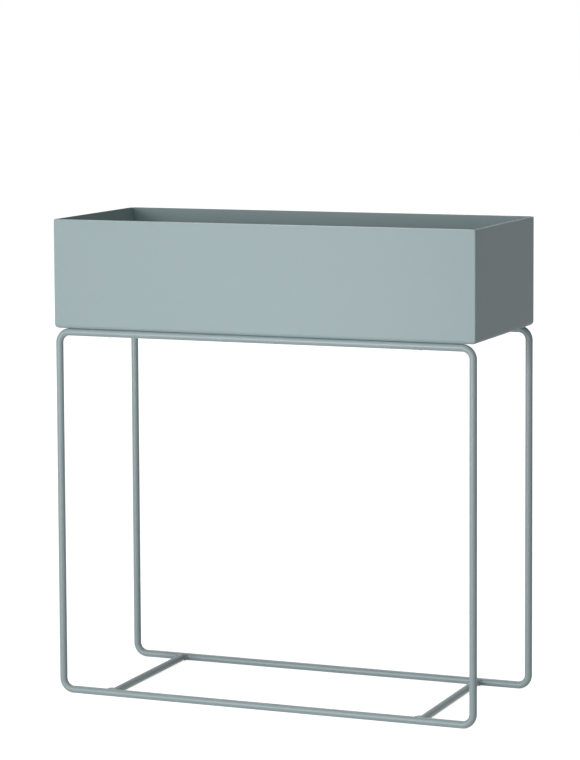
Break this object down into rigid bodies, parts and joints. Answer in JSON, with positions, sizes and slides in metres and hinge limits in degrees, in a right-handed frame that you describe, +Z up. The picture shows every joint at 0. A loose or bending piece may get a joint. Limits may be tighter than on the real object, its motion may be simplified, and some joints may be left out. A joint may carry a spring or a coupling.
{
  "type": "raised planter",
  "caption": "Raised planter: an open rectangular sheet-metal box bolted onto a stand of bent round bar, with crossbars between its front and back loops.",
  "frame": {"origin": "on the floor, under the middle of the planter", "axes": "+X to the right, +Y to the back, +Z up"},
  "size_m": [0.6, 0.25, 0.65],
  "materials": {
    "box_coat": "matt dusty blue-green powder coat",
    "stand_coat": "matt dusty blue-green powder coat",
    "zinc_fasteners": "bright zinc plating"
  },
  "bodies": {
    "root": {"planter_box": "box_coat", "front_loop": "stand_coat", "back_loop": "stand_coat", "lower_left_crossbar": "stand_coat", "lower_right_crossbar": "stand_coat", "upper_left_crossbar": "stand_coat", "upper_right_crossbar": "stand_coat", "front_left_lug": "stand_coat", "front_right_lug": "stand_coat", "back_left_lug": "stand_coat", "back_right_lug": "stand_coat", "fixing_screws": "zinc_fasteners", "fixing_washers": "zinc_fasteners", "fixing_nuts": "zinc_fasteners"}
  },
  "joints": []
}
